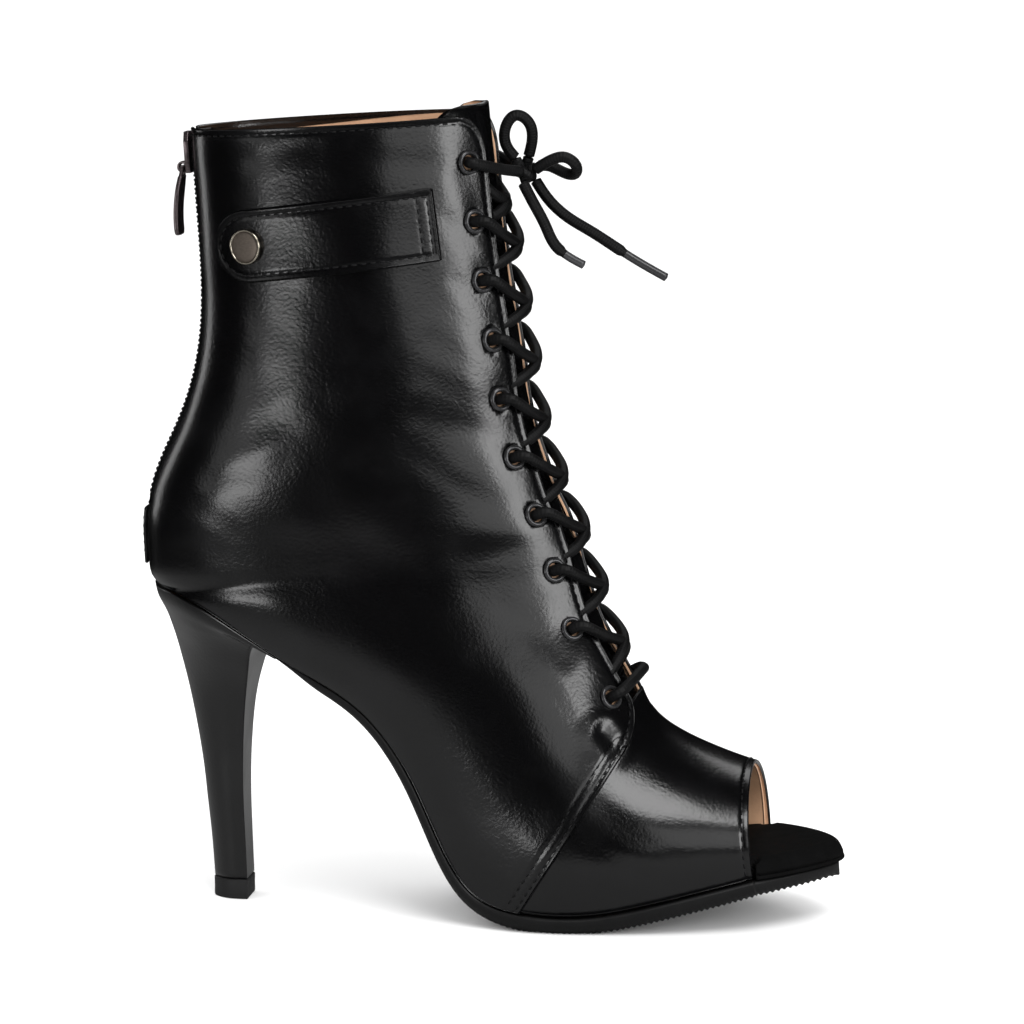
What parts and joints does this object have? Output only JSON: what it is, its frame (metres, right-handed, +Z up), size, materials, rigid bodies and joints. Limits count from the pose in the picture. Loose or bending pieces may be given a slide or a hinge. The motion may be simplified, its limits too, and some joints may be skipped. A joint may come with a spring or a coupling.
{
  "type": "peep toe ankle boot",
  "caption": "Right ankle boot with a peep toe, a laced front, a side strap with a snap, a zip up the back and a slim high heel.",
  "frame": {"origin": "bottom centre of the boot's box, measured without the lace's knot, loops and ends", "axes": "+Z up from the floor, +X towards the toe, -Y towards the outer side of the foot"},
  "size_m": [0.2226, 0.0828, 0.2534],
  "materials": {
    "leather": "glossy black leather, softly creased",
    "heel_cover": "glossy black leather, smooth",
    "suede": "matt black suede",
    "eyelet": "black enamel",
    "lace": "matt black waxed cord",
    "snap": "dark bronze with a bright rim",
    "zip": "black zip tape and coil",
    "slider": "dark gunmetal",
    "sole": "matt black rubber with fine ribs",
    "top_lift": "matt black rubber"
  },
  "bodies": {
    "boot": {"upper": "leather", "tongue": "leather", "eyelet_lateral_1": "eyelet", "eyelet_lateral_2": "eyelet", "eyelet_lateral_3": "eyelet", "eyelet_lateral_4": "eyelet", "eyelet_lateral_5": "eyelet", "eyelet_lateral_6": "eyelet", "eyelet_lateral_7": "eyelet", "eyelet_lateral_8": "eyelet", "eyelet_lateral_9": "eyelet", "eyelet_lateral_10": "eyelet", "eyelet_medial_1": "eyelet", "eyelet_medial_2": "eyelet", "eyelet_medial_3": "eyelet", "eyelet_medial_4": "eyelet", "eyelet_medial_5": "eyelet", "eyelet_medial_6": "eyelet", "eyelet_medial_7": "eyelet", "eyelet_medial_8": "eyelet", "eyelet_medial_9": "eyelet", "eyelet_medial_10": "eyelet", "lace_cross_1": "lace", "lace_cross_2": "lace", "lace_cross_3": "lace", "lace_cross_4": "lace", "lace_cross_5": "lace", "lace_cross_6": "lace", "lace_cross_7": "lace", "lace_cross_8": "lace", "lace_cross_9": "lace", "lace_bar": "lace", "lace_top_lateral": "lace", "lace_top_medial": "lace", "lace_knot": "lace", "lace_loop_up": "lace", "lace_loop_side": "lace", "lace_end_short": "lace", "lace_end_long": "lace", "strap": "leather", "snap_cap": "snap", "zip_chain": "zip", "zip_slider": "slider", "heel_tab": "leather", "insole": "suede", "outsole": "sole", "heel": "heel_cover", "top_lift": "top_lift"},
    "zip_tab": {"zip_tab": "slider"}
  },
  "joints": [
    {"name": "zip_tab_hinge", "type": "hinge", "parent": "boot", "child": "zip_tab", "pos_m": [-0.09761, 0.00041, 0.23243], "axis": [0, 1, 0], "range_deg": [-12, 150]}
  ]
}
